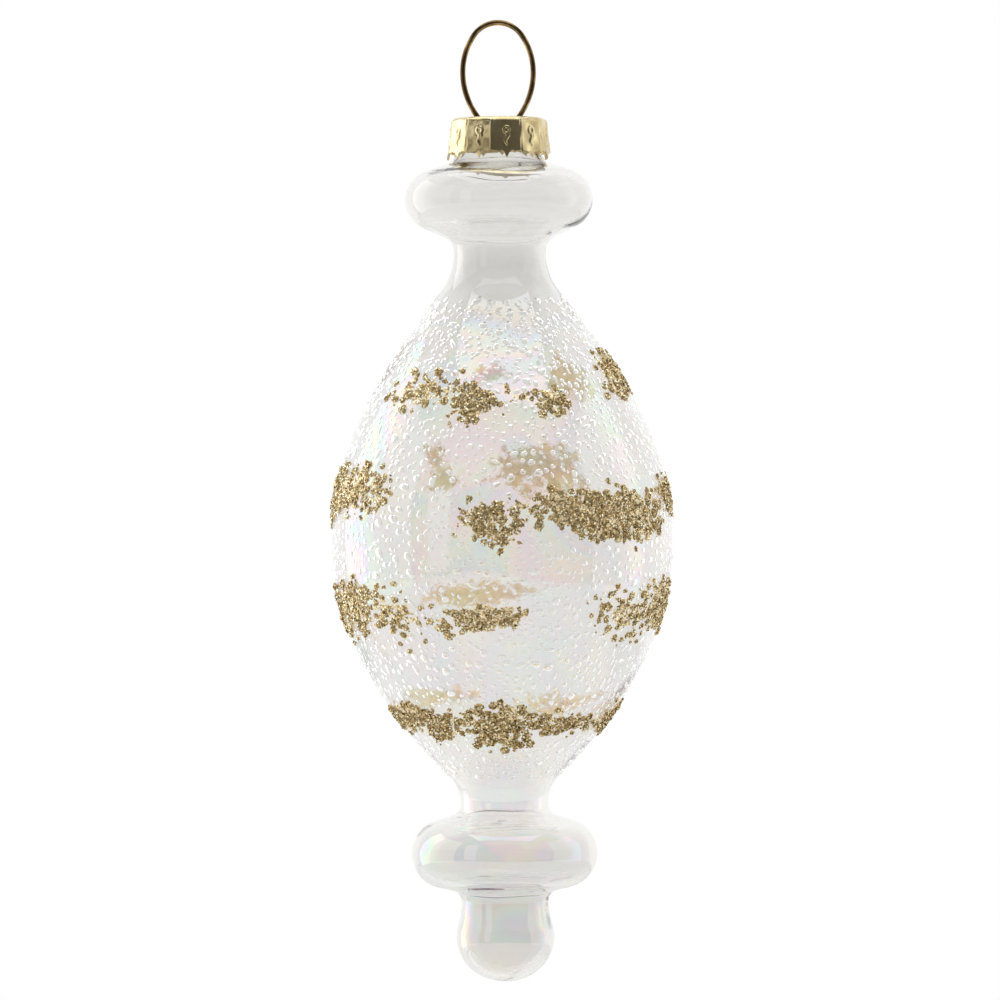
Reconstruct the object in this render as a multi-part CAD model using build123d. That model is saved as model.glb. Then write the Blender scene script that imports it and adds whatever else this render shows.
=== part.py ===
from build123d import *
import os
from math import cos, pi, radians, sin, tan

# Hanging blown-glass finial ornament, millimetres. The origin is the hook seat: the underside of the wire
# at the top of the hanging loop. +Z is up, so the ornament hangs below the origin. +X runs across the loop,
# and -Y is the front. An azimuth is measured about Z from the front towards +X.

# ---- hanging wire: one round wire, bent in the XZ plane ----
WIRE_D = 0.8
LOOP_HALF_WIDTH = 5.13        # axis to the wire's centreline at the widest place
LOOP_CROWN_R = 4.2            # arc over the top
LOOP_SHOULDER_R = 9.5         # arcs from the crown down to the widest place
LOOP_FLANK_R = 11.0           # arcs below the widest place
LEG_LEAN = 34.5               # degrees from vertical where a leg goes through the cap
FOOT_BEND_R = 1.0             # bend that turns a leg outward under the cap
FOOT_END_X = 4.5              # reach of each foot from the axis

# ---- pressed cap ----
CAP_TOP_Z = -13.54
CAP_SIDES = 11
CAP_TURN = 9.3                # degrees by which one facet's middle is turned from the front
CAP_SHEET = 0.3
CAP_TOP_R = 7.1               # corner radius of the faceted skirt at its top
CAP_BOTTOM_R = 7.75           # corner radius of the faceted skirt at its tooth tips
CAP_HEIGHT = 6.0              # to the tooth tips
CAP_SHOULDER = 1.0            # rounding round the top plate
TOOTH_HEIGHT = 0.95
TOOTH_TIP = 0.12              # half width of a tooth's tip
CAP_HOLE_D = 1.8
MOTIF_RING_R = 0.5            # raised ring pressed into each facet
MOTIF_RELIEF_R = 0.15
MOTIF_DROP = 1.5              # ring's centre to the raised dot below it

# ---- blown glass ----
WALL = 0.9
STEM_R = 6.2
STEM_RIM_GAP = 0.15           # rim to the cap's underside
STEM_STRAIGHT = 4.0
COLLAR_R = 13.65              # upper disc
COLLAR_EDGE_R = 4.5
NECK_R = 6.7
BULB_R = 24.75
BULB_BAND = 1.7               # straight stretch at the widest place
LOWER_NECK_R = 6.4
FOOT_DISC_R = 13.55           # lower disc
FOOT_DISC_EDGE_R = 5.02
TIP_NECK_R = 6.33
TIP_BALL_R = 7.15             # half width of the ball at the tip, which is a little flattened
TIP_BALL_SIDE_R = 6.0

# The blown piece in sections that touch, by the height each one ends at, from the stem down. They are rings of
# simple form, so that each stays hollow where a coarse shape is made of it.
GLASS_SECTIONS = {
    "glass_stem": -19.9,
    "glass_upper_disc": -33.0,
    "glass_shoulder": -56.0,
    "glass_belly": -91.0,
    "glass_lower_taper": -113.4,
    "glass_lower_disc": -127.7,
    "glass_tip": -140.0,
}

# ---- coatings ----
DROPS_TOP_Z = -41.5           # the frosting of clear drops covers the bulb between these heights
DROPS_BOTTOM_Z = -109.5
DROPS_THICKNESS = 0.35
GLITTER_THICKNESS = 0.4

# name: (azimuth of the middle, half span in degrees, height of the middle, half height, slant in degrees)
GLITTER = {
    "glitter_upper_1": (-31, 27, -54.0, 4.3, -4),
    "glitter_upper_2": (18, 10, -55.3, 2.0, 3),
    "glitter_upper_3": (77, 22, -50.8, 2.7, -8),
    "glitter_upper_4": (143, 13, -51.1, 2.6, 6),
    "glitter_upper_5": (184, 9, -50.4, 1.2, 0),
    "glitter_middle_1": (-72, 30, -67.7, 4.2, -6),
    "glitter_middle_2": (-4, 10, -72.4, 3.1, 5),
    "glitter_middle_3": (37, 29, -71.5, 3.9, 4),
    "glitter_middle_4": (88, 19, -68.7, 2.4, 3),
    "glitter_middle_5": (167, 17, -64.2, 3.4, -5),
    "glitter_middle_6": (203, 6, -65.1, 2.6, 0),
    "glitter_lower_1": (-63, 37, -85.4, 4.3, -3),
    "glitter_lower_2": (-8, 16, -86.2, 2.2, 6),
    "glitter_lower_3": (67, 31, -85.4, 4.4, 4),
    "glitter_lower_4": (190, 20, -83.0, 1.8, 0),
    "glitter_bottom_1": (-60, 33, -101.2, 2.9, -7),
    "glitter_bottom_2": (-1, 17, -101.5, 3.1, 0),
    "glitter_bottom_3": (39, 17, -101.5, 1.9, 4),
    "glitter_bottom_4": (88, 21, -100.9, 2.0, 0),
    "glitter_bottom_5": (146, 24, -99.1, 1.4, 3),
    "glitter_bottom_6": (218, 21, -98.3, 1.3, 0),
}
OUTLINE_POINTS = 14


class Outline:
    """A chain of straight runs and tangent arcs in the half plane of radius and height, walked downward.

    A heading is in degrees from straight down, positive away from the axis. An arc's radius is positive where
    the glass bulges and negative where it is waisted.
    """

    def __init__(self, r, z, heading=0.0):
        self.stations = [(r, z, heading)]
        self.radii = []

    def _arrive(self, r, z, heading, radius):
        self.stations.append((r, z, heading))
        self.radii.append(radius)

    def run(self, length):
        r, z, heading = self.stations[-1]
        a = radians(heading)
        self._arrive(r + length * sin(a), z - length * cos(a), heading, None)

    def run_to_radius(self, radius):
        r, _, heading = self.stations[-1]
        self.run((radius - r) / sin(radians(heading)))

    def bend(self, radius, heading):
        self._arrive(*turned(self.stations[-1], radius, heading), radius)

    def edges(self, gap=0.0):
        """The chain moved outward by gap, as edges in the XZ plane."""
        found = []
        for start, end, radius in zip(self.stations, self.stations[1:], self.radii):
            ends = [moved(start, gap), moved(end, gap)]
            if radius is None:
                found.append(Line(*ends))
            else:
                middle = turned(start, radius, (start[2] + end[2]) / 2)
                found.append(ThreePointArc(ends[0], moved(middle, gap), ends[1]))
        return found


def turned(station, radius, heading):
    r, z, before = station
    a, b = radians(before), radians(heading)
    return r + radius * (cos(b) - cos(a)), z + radius * (sin(b) - sin(a)), heading


def moved(station, gap):
    r, z, heading = station
    a = radians(heading)
    return Vector(r + gap * cos(a), 0, z + gap * sin(a))


def upper_glass(start_z):
    """From the stem's rim down to the widest place of the bulb."""
    path = Outline(STEM_R, start_z)
    path.run(STEM_STRAIGHT)
    path.bend(-1.75, 72)
    edge_centre_r = COLLAR_R - COLLAR_EDGE_R
    path.run_to_radius(edge_centre_r + COLLAR_EDGE_R * cos(radians(72)))
    path.bend(COLLAR_EDGE_R, -66)
    waist_r = 2.33
    path.run_to_radius(NECK_R + waist_r * (1 - cos(radians(66))))
    path.bend(-waist_r, 0)
    path.bend(-9.5, BULB_LEAN)
    # The cone that follows is as long as the two arcs above the widest place leave room for.
    cone_end_r = BULB_R - BULB_ARC_R * (1 - cos(radians(20.5)))
    cone_end_r -= SHOULDER_ARC_R * (cos(radians(20.5)) - cos(radians(BULB_LEAN)))
    path.run_to_radius(cone_end_r)
    path.bend(SHOULDER_ARC_R, 20.5)
    path.bend(BULB_ARC_R, 0)
    return path


def lower_glass(path):
    """From the widest place down to the tip's lowest point, added to the path."""
    path.run(BULB_BAND)
    path.bend(34.9, -22)
    path.bend(57.4, -45)
    waist_r = 6.1
    path.run_to_radius(LOWER_NECK_R + waist_r * (1 - cos(radians(45))))
    path.bend(-waist_r, 0)
    path.bend(-1.67, 72)
    edge_centre_r = FOOT_DISC_R - FOOT_DISC_EDGE_R
    path.run_to_radius(edge_centre_r + FOOT_DISC_EDGE_R * cos(radians(72)))
    path.bend(FOOT_DISC_EDGE_R, -75)
    waist_r = 1.75
    path.run_to_radius(TIP_NECK_R + waist_r * (1 - cos(radians(75))))
    path.bend(-waist_r, 0)
    lean = 18.5
    ball_r = TIP_BALL_R - TIP_BALL_SIDE_R * (1 - cos(radians(lean)))
    path.bend(-(ball_r - TIP_NECK_R) / (1 - cos(radians(lean))), lean)
    path.bend(TIP_BALL_SIDE_R, -45)
    path.bend(path.stations[-1][0] / cos(radians(45)), -90)
    return path


BULB_LEAN = 36.9              # degrees from vertical of the bulb's upper cone
SHOULDER_ARC_R = 67.0
BULB_ARC_R = 34.3
RIM_Z = CAP_TOP_Z - CAP_SHEET - STEM_RIM_GAP - WALL / 2
GLASS = lower_glass(upper_glass(RIM_Z))
# The stretch of the glass that carries drops and glitter: the waist below the upper disc to the lower neck.
BULB_FIRST, BULB_LAST = 6, 14


def turned_solid(edges):
    return revolve(make_face(edges), Axis.Z, 360)


def glass_body():
    outer, inner = GLASS.edges(), GLASS.edges(-WALL)
    rim = ThreePointArc(inner[0] @ 0, Vector(STEM_R - WALL / 2, 0, RIM_Z + WALL / 2), outer[0] @ 0)
    return turned_solid([*outer, Line(outer[-1] @ 1, inner[-1] @ 1), *inner, rim])


def bulb_skin(low_gap, high_gap, top_z, bottom_z):
    """A closed skin on the bulb between two gaps from the glass, cut level at both ends."""
    part = Outline(*GLASS.stations[BULB_FIRST])
    part.stations = GLASS.stations[BULB_FIRST:BULB_LAST + 1]
    part.radii = GLASS.radii[BULB_FIRST:BULB_LAST]
    near, far = part.edges(low_gap), part.edges(high_gap)
    ends = [Line(near[0] @ 0, far[0] @ 0), Line(near[-1] @ 1, far[-1] @ 1)]
    skin = turned_solid([*near, *far, *ends])
    return skin & level_band(top_z, bottom_z)


def level_band(top_z, bottom_z):
    """Everything between two heights."""
    room = 2 * (BULB_R + 5)
    return Pos(0, 0, (top_z + bottom_z) / 2) * Box(room, room, top_z - bottom_z)


def glass_radius(z):
    """Radius of the bulb's outer surface at a height."""
    level = Line((0, 0, z), (BULB_R + 5, 0, z))
    for edge in GLASS.edges()[BULB_FIRST:BULB_LAST]:
        low, high = sorted([(edge @ 0).Z, (edge @ 1).Z])
        if low <= z <= high:
            return edge.distance_to_with_closest_points(level)[1].X
    raise ValueError(z)


def glitter_patch(skin, azimuth, half_span, z, half_height, slant):
    """One patch of glitter: the skin inside a lobed outline that runs outward from the axis."""
    half_width = glass_radius(z) * sin(radians(half_span))
    outline = []
    for i in range(OUTLINE_POINTS):
        t = 2 * pi * i / OUTLINE_POINTS
        across = half_width * cos(t) * (1 - 0.1 * cos(3 * t + half_span))
        along = half_height * sin(t) * (1 - 0.14 * cos(4 * t + azimuth))
        outline.append((across, along))
    face = make_face(Spline(*outline, periodic=True)).rotate(Axis.Z, slant)
    prism = extrude(Plane.XZ * face, BULB_R + 5)
    return skin & (Pos(0, 0, z) * prism).rotate(Axis.Z, azimuth)


def faceted(corner_top, corner_bottom, top_z, bottom_z):
    """A many-sided frustum whose facet middles are turned by CAP_TURN."""
    turn = CAP_TURN - 90 + 180 / CAP_SIDES
    top = Pos(0, 0, top_z) * RegularPolygon(corner_top, CAP_SIDES, rotation=turn)
    bottom = Pos(0, 0, bottom_z) * RegularPolygon(corner_bottom, CAP_SIDES, rotation=turn)
    return loft([top, bottom])


def tooth_gap():
    """The cut between two neighbouring teeth, as a prism that points to the front at the skirt's lower edge."""
    facet = 2 * CAP_BOTTOM_R * sin(pi / CAP_SIDES)
    half = facet / 2 - TOOTH_TIP
    nib = 0.62 * TOOTH_HEIGHT
    side = [(half, 0), (0.74 * half, 0.6 * TOOTH_HEIGHT), (0.45 * half, TOOTH_HEIGHT), (0.12 * half, nib)]
    left = [(-u, v) for u, v in reversed(side)]
    scallops = [
        Line(side[0], side[1]),
        ThreePointArc(side[1], side[2], side[3]),
        Line(side[3], left[0]),
        ThreePointArc(left[0], left[1], left[2]),
        Line(left[2], left[3]),
    ]
    below = -0.5
    floor = [Line(left[3], (left[3][0], below)), Line((left[3][0], below), (half, below))]
    face = make_face([*scallops, *floor, Line((half, below), side[0])])
    return Pos(0, 0, CAP_TOP_Z - CAP_HEIGHT) * extrude(Plane.XZ * face, CAP_BOTTOM_R + 2)


def motif():
    """Raised ring, stalk and dot on the front facet."""
    apothem = (CAP_TOP_R + CAP_BOTTOM_R) / 2 * cos(pi / CAP_SIDES)
    drop = CAP_HEIGHT * 0.36
    ring = Torus(MOTIF_RING_R, MOTIF_RELIEF_R).rotate(Axis.X, 90)
    stalk = Pos(0, 0, -(MOTIF_RING_R + MOTIF_DROP) / 2) * Cylinder(0.12, MOTIF_DROP - MOTIF_RING_R)
    dot = Pos(0, 0, -MOTIF_DROP) * Sphere(0.22)
    lean = Rot(X=-4)
    return Pos(0, -apothem + 0.06, CAP_TOP_Z - drop) * lean * (ring + stalk + dot)


def hanger_cap():
    top, bottom = CAP_TOP_Z, CAP_TOP_Z - CAP_HEIGHT
    outside = faceted(CAP_TOP_R, CAP_BOTTOM_R, top, bottom)
    outside = fillet(outside.faces().sort_by(Axis.Z)[-1].edges(), CAP_SHOULDER)
    side_gap = CAP_SHEET / cos(pi / CAP_SIDES)
    slope = (CAP_BOTTOM_R - CAP_TOP_R) / CAP_HEIGHT
    inside = faceted(CAP_TOP_R + slope * CAP_SHEET - side_gap, CAP_BOTTOM_R - side_gap, top - CAP_SHEET, bottom)
    inside = fillet(inside.faces().sort_by(Axis.Z)[-1].edges(), CAP_SHOULDER - CAP_SHEET)
    cap = outside - inside
    pitch = 360 / CAP_SIDES
    for i in range(CAP_SIDES):
        middle = CAP_TURN + i * pitch
        cap += motif().rotate(Axis.Z, middle)
        cap -= tooth_gap().rotate(Axis.Z, middle + pitch / 2)
    for side in (-1, 1):
        hole = Pos(side * leg_x_at_plate(), 0, top) * Cylinder(CAP_HOLE_D / 2, 3 * CAP_SHEET)
        cap -= hole
    return cap - inside


def loop_half():
    """Right half of the wire's centreline, from the crown to the foot's end, as edges in the XZ plane."""
    crown = Vector(0, 0, WIRE_D / 2)
    # The shoulder arc touches the crown arc and is upright at the widest place.
    reach = LOOP_SHOULDER_R - LOOP_CROWN_R
    lean = LOOP_HALF_WIDTH - LOOP_CROWN_R
    cross = (reach - lean) / reach
    rise = reach * (1 - cross ** 2) ** 0.5
    widest = Vector(LOOP_HALF_WIDTH, 0, crown.Z - LOOP_CROWN_R - rise)
    joint_angle = (1 - cross ** 2) ** 0.5, cross
    join = Vector(LOOP_CROWN_R * joint_angle[1], 0, crown.Z - LOOP_CROWN_R + LOOP_CROWN_R * joint_angle[0])
    crown_arc = TangentArc(crown, join, tangent=(1, 0, 0))
    shoulder = TangentArc(join, widest, tangent=crown_arc % 1)
    lean = radians(LEG_LEAN)
    flank_end = widest - Vector(LOOP_FLANK_R * (1 - cos(lean)), 0, LOOP_FLANK_R * sin(lean))
    flank = TangentArc(widest, flank_end, tangent=(0, 0, -1))
    down = Vector(-sin(lean), 0, -cos(lean))
    leg_length = (flank_end.Z - (CAP_TOP_Z - CAP_SHEET - 0.3)) / cos(lean)
    leg_end = flank_end + down * leg_length
    centre = leg_end + Vector(cos(lean), 0, -sin(lean)) * FOOT_BEND_R
    bend = TangentArc(leg_end, centre - Vector(0, 0, FOOT_BEND_R), tangent=down)
    foot = Line(bend @ 1, Vector(FOOT_END_X, 0, (bend @ 1).Z))
    return [crown_arc, shoulder, flank, Line(flank_end, leg_end), bend, foot]


def leg_x_at_plate():
    """Distance from the axis to a leg's centreline half way through the cap's plate."""
    leg = loop_half()[3]
    depth = (leg @ 0).Z - (CAP_TOP_Z - CAP_SHEET / 2)
    return (leg @ 0).X - depth * tan(radians(LEG_LEAN))


def hanger_wire():
    right = loop_half()
    left = [edge.mirror(Plane.YZ) for edge in right]
    path = Wire([*left, *right])
    start = Plane(origin=path @ 0, z_dir=path % 0)
    return sweep(start * Circle(WIRE_D / 2), path=path)


def write(name, shape):
    export_step(shape, f"parts/{name}.step")
    print(name, "solids", len(shape.solids()), "volume", round(shape.volume, 2))


os.makedirs("parts", exist_ok=True)
write("hanger_wire", hanger_wire())
write("hanger_cap", hanger_cap())
glass, section_top = glass_body(), CAP_TOP_Z
for name, section_bottom in GLASS_SECTIONS.items():
    write(name, glass & level_band(section_top, section_bottom))
    section_top = section_bottom
write("clear_drops", bulb_skin(0, DROPS_THICKNESS, DROPS_TOP_Z, DROPS_BOTTOM_Z))
glitter_skin = bulb_skin(DROPS_THICKNESS, DROPS_THICKNESS + GLITTER_THICKNESS, DROPS_TOP_Z, DROPS_BOTTOM_Z)
for name, place in GLITTER.items():
    write(name, glitter_patch(glitter_skin, *place))
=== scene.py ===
from itertools import product
from math import cos, floor, pi, radians, sin, sqrt

import bpy
import numpy as np
from mathutils import Euler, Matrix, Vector
from mathutils.geometry import delaunay_2d_cdt


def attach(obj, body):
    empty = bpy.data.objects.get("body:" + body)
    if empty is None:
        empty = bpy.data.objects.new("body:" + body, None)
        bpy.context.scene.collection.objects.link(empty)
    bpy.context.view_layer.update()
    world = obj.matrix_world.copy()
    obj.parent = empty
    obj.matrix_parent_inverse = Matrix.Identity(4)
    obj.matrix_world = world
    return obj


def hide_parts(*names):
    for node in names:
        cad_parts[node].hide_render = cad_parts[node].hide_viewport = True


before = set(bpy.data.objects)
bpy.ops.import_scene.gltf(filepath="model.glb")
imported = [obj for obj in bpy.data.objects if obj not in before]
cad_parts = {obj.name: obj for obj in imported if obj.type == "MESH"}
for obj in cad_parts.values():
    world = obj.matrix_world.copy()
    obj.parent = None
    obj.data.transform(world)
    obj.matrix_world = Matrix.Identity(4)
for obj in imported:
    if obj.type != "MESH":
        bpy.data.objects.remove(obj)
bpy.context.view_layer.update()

# A hanging blown-glass ornament: glass, clear drops, gold glitter, cap and wire. Lengths here are
# millimetres and become metres when a mesh is made. An azimuth (phi) is measured about Z from the front,
# -Y, towards +X.

MM = 0.001
rng = np.random.default_rng(7)

# ---------------------------------------------------------------- camera, lights and world


def pos_mm(x, y, z):
    """A place given in millimetres, as metres."""
    return Vector((x * MM, y * MM, z * MM))


MID_Z = -69.1                 # height of the camera and of the picture's middle
CAMERA_X, CAMERA_BACK = -0.25, 950.0
CAMERA_ROLL = 0.5             # degrees, because the ornament hangs a little out of true in the picture
PICTURE_WIDTH = 145.6         # what the picture spans at the ornament
SENSOR_WIDTH = 36

camera_data = bpy.data.cameras.new("camera")
camera = bpy.data.objects.new("camera", camera_data)
bpy.context.collection.objects.link(camera)
camera_data.sensor_width = SENSOR_WIDTH
camera_data.lens = SENSOR_WIDTH * CAMERA_BACK / PICTURE_WIDTH
camera_data.clip_start, camera_data.clip_end = 0.01, 20
camera.location = pos_mm(CAMERA_X, -CAMERA_BACK, MID_Z)
camera.rotation_euler = Euler((radians(90), radians(CAMERA_ROLL), 0))
bpy.context.scene.camera = camera
bpy.context.scene.view_settings.view_transform = "Standard"
# Light runs a long way round inside the glass wall, and cut short there it would leave dark outlines.
cycles = bpy.context.scene.cycles
cycles.max_bounces = 48
cycles.transmission_bounces = 32
cycles.glossy_bounces = 40
cycles.diffuse_bounces = 6


def area_light(name, place, size, radiance, target=(0, 0, MID_Z), diffuse=0.25):
    """A soft box that faces the target. Its brightness is given as it is seen in a mirror."""
    data = bpy.data.lights.new(name, "AREA")
    data.shape, data.size, data.size_y = "RECTANGLE", size[0] * MM, size[1] * MM
    data.energy = radiance * pi * data.size * data.size_y
    data.diffuse_factor = diffuse
    lamp = bpy.data.objects.new(name, data)
    bpy.context.collection.objects.link(lamp)
    lamp.location = pos_mm(*place)
    lamp.rotation_euler = (pos_mm(*target) - lamp.location).to_track_quat("-Z", "Y").to_euler()
    lamp.visible_camera = False
    lamp.visible_transmission = False
    return lamp


area_light("soft_left", (-700, -60, -20), (560, 1000), 0.8)
area_light("soft_left_behind", (-610, 330, 0), (300, 900), 1.35)
area_light("soft_right", (700, -40, -20), (620, 1000), 0.62)
area_light("soft_top", (0, -60, 720), (900, 900), 1.5, diffuse=0.5)
area_light("soft_front_left", (-560, -600, 60), (220, 700), 0.75)

world = bpy.data.worlds.new("studio")
bpy.context.scene.world = world
world.use_nodes = True


class Nodes:
    """Short ways to build one node tree."""

    def __init__(self, tree):
        self.tree = tree
        tree.nodes.clear()

    def add(self, kind, **settings):
        node = self.tree.nodes.new(kind)
        for key, value in settings.items():
            setattr(node, key, value)
        return node

    def link(self, source, target):
        self.tree.links.new(source, target)

    def math(self, operation, a, b):
        node = self.add("ShaderNodeMath", operation=operation)
        for socket, value in zip(node.inputs, (a, b)):
            if isinstance(value, (int, float)):
                socket.default_value = value
            else:
                self.link(value, socket)
        return node.outputs[0]

    def noise(self, scale, detail, roughness=0.5, distortion=0.0):
        node = self.add("ShaderNodeTexNoise")
        node.inputs["Scale"].default_value = scale
        node.inputs["Detail"].default_value = detail
        node.inputs["Roughness"].default_value = roughness
        node.inputs["Distortion"].default_value = distortion
        self.link(self.place(), node.inputs["Vector"])
        return node.outputs["Fac"]

    def place(self):
        """Coordinates in the object, in metres, which are the same as the frame's."""
        if not hasattr(self, "_place"):
            self._place = self.add("ShaderNodeTexCoord").outputs["Object"]
        return self._place

    def height(self):
        split = self.add("ShaderNodeSeparateXYZ")
        self.link(self.place(), split.inputs[0])
        return split.outputs["Z"]

    def ramp(self, value, stops):
        """A colour by a value from 0 to 1, from stops of (value, colour)."""
        node = self.add("ShaderNodeValToRGB")
        elements = node.color_ramp.elements
        while len(elements) < len(stops):
            elements.new(0.5)
        for element, (at, colour) in zip(elements, stops):
            element.position = at
            element.color = (*colour, 1)
        self.link(value, node.inputs["Fac"])
        return node.outputs["Color"]

    def spread(self, value, low, high, to_low, to_high, smooth=False):
        """The value's range from low to high, spread from to_low to to_high."""
        node = self.add("ShaderNodeMapRange", interpolation_type="SMOOTHSTEP" if smooth else "LINEAR")
        self.link(value, node.inputs["Value"])
        limits = {"From Min": low, "From Max": high, "To Min": to_low, "To Max": to_high}
        for name, number in limits.items():
            node.inputs[name].default_value = number
        return node.outputs["Result"]


ROOM_FRONT, ROOM_BACK = 0.12, 1.0
ROOM_TURN = -0.12, 0.3        # the direction's Y where the front's tone ends and the back's begins
INSIDE_GLOW = 0.5             # how much of that dimness is taken off a ray that has been inside the glass
DULL_FILL = 1.5


def build_world():
    """White to the eye and through the glass, and a soft fill on dull surfaces.

    What is mirrored, inside the glass too, is a dim room in front and a white one behind.
    """
    n = Nodes(world.node_tree)
    out, sky = n.add("ShaderNodeOutputWorld"), n.add("ShaderNodeBackground")
    sky.inputs["Color"].default_value = (1, 1, 1, 1)
    direction = n.add("ShaderNodeSeparateXYZ")
    n.link(n.add("ShaderNodeTexCoord").outputs["Generated"], direction.inputs[0])
    room = n.spread(direction.outputs["Y"], *ROOM_TURN, ROOM_FRONT, ROOM_BACK, smooth=True)
    path = n.add("ShaderNodeLightPath").outputs
    mirrored = n.math("MINIMUM", path["Glossy Depth"], 1.0)
    dull = n.math("MINIMUM", path["Diffuse Depth"], 1.0)
    been_inside = n.math("MINIMUM", path["Transmission Depth"], 1.0)
    dimness_kept = n.math("SUBTRACT", 1.0, n.math("MULTIPLY", been_inside, INSIDE_GLOW))
    dimming = n.math("MULTIPLY", n.math("SUBTRACT", room, 1.0), dimness_kept)
    seen = n.math("ADD", n.math("MULTIPLY", mirrored, dimming), 1.0)
    fill = n.math("MULTIPLY", dull, DULL_FILL - 1)
    n.link(n.math("ADD", seen, fill), sky.inputs["Strength"])
    n.link(sky.outputs[0], out.inputs["Surface"])
    # Its own sampling would take every shadow ray for a camera ray.
    world.cycles.sampling_method = "NONE"


build_world()

# ---------------------------------------------------------------- meshes


class Gather:
    """Points and faces gathered for one mesh."""

    def __init__(self):
        self.points, self.tones, self.faces = [], [], []
        self.count = 0

    def add(self, points, faces, material=0, smooth=True, tone=0.5):
        """Faces are one array, or a list of arrays, of rows of indices into points."""
        points = np.asarray(points, float).reshape(-1, 3)
        self.points.append(points)
        self.tones.append(np.broadcast_to(np.asarray(tone, float), (len(points),)))
        for rows in faces if isinstance(faces, (list, tuple)) else [faces]:
            self.faces.append((np.asarray(rows, int) + self.count, material, smooth))
        self.count += len(points)

    def object(self, name, materials):
        mesh = bpy.data.meshes.new(name)
        points = np.concatenate(self.points) * MM
        mesh.vertices.add(len(points))
        mesh.vertices.foreach_set("co", points.ravel())
        corners = np.concatenate([rows.ravel() for rows, _, _ in self.faces])
        sizes = np.concatenate([np.full(len(rows), rows.shape[1]) for rows, _, _ in self.faces])
        mesh.loops.add(len(corners))
        mesh.loops.foreach_set("vertex_index", corners)
        mesh.polygons.add(len(sizes))
        mesh.polygons.foreach_set("loop_start", np.cumsum(sizes) - sizes)
        index = np.concatenate([np.full(len(rows), m) for rows, m, _ in self.faces])
        mesh.polygons.foreach_set("material_index", index)
        smooth = np.concatenate([np.full(len(rows), s) for rows, _, s in self.faces])
        mesh.polygons.foreach_set("use_smooth", smooth)
        tone = mesh.attributes.new("tone", "FLOAT", "POINT")
        tone.data.foreach_set("value", np.concatenate(self.tones).astype(np.float32))
        for material in materials:
            mesh.materials.append(material)
        mesh.update(calc_edges=True)
        mesh.validate()
        made = bpy.data.objects.new(name, mesh)
        bpy.context.collection.objects.link(made)
        return made


def grid_faces(rows, columns, flip=False):
    """Quads of a grid of points stored row by row, with each row joined round."""
    i, j = np.meshgrid(np.arange(rows - 1), np.arange(columns), indexing="ij")
    k = (j + 1) % columns
    quads = np.stack([i * columns + j, i * columns + k, (i + 1) * columns + k, (i + 1) * columns + j], -1)
    quads = quads.reshape(-1, 4)
    return quads[:, ::-1] if flip else quads


# ---------------------------------------------------------------- outlines of runs and tangent arcs

ARC_TURN = 2.5                # degrees that an arc turns at most between two samples


class Outline:
    """A chain of straight runs and tangent arcs, walked downward from (across, height, heading).

    A heading is in degrees from straight down, positive outward. An arc's radius is positive where it
    bulges. Samples are about a step apart.
    """

    def __init__(self, r, z, heading=0.0, step=0.55):
        self.step = step
        self.rows = [(r, z, heading)]

    def run(self, length):
        r, z, heading = self.rows[-1]
        a = radians(heading)
        count = max(1, round(length / self.step))
        for i in range(1, count + 1):
            along = length * i / count
            self.rows.append((r + along * sin(a), z - along * cos(a), heading))

    def reach(self, radius):
        """A run that ends at a distance from the axis."""
        r, _, heading = self.rows[-1]
        self.run((radius - r) / sin(radians(heading)))

    def bend(self, radius, heading):
        r, z, before = self.rows[-1]
        a = radians(before)
        turn = radians(heading) - a
        count = max(2, round(abs(radius * turn) / self.step), round(abs(turn) / radians(ARC_TURN)))
        for i in range(1, count + 1):
            b = a + turn * i / count
            at = r + radius * (cos(b) - cos(a)), z + radius * (sin(b) - sin(a))
            self.rows.append((*at, before + (heading - before) * i / count))

    def table(self):
        """Distance along, across, height and heading in radians of every sample."""
        r, z, heading = np.array(self.rows).T
        along = np.concatenate([[0], np.cumsum(np.hypot(np.diff(r), np.diff(z)))])
        return along, r, z, np.radians(heading)


CAP_TOP_Z = -13.54
CAP_SHEET = 0.3
WALL = 0.9
STEM_RIM_GAP = 0.15           # rim to the cap's underside
STEM_TOP_Z = CAP_TOP_Z - CAP_SHEET - STEM_RIM_GAP - WALL / 2
STEM_R, STEM_STRAIGHT = 6.2, 4.0
COLLAR_R, COLLAR_EDGE_R = 13.65, 4.5          # upper disc
NECK_R, NECK_WAIST_R = 6.7, 2.33
BULB_R, BULB_ARC_R, BULB_BAND = 24.75, 34.3, 1.7
BULB_LEAN, SHOULDER_LEAN = 36.9, 20.5         # degrees from vertical of the upper cone and below its arc
SHOULDER_ARC_R = 67
LOWER_NECK_R, LOWER_WAIST_R = 6.4, 6.1
FOOT_DISC_R, FOOT_DISC_EDGE_R = 13.55, 5.02   # lower disc
TIP_NECK_R, TIP_WAIST_R = 6.33, 1.75
TIP_BALL_R, TIP_BALL_SIDE_R, TIP_LEAN = 7.15, 6, 18.5


def arc_across(radius, heading):
    """How far an arc that starts straight up and down moves across."""
    return radius * (1 - cos(radians(heading)))


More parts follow.
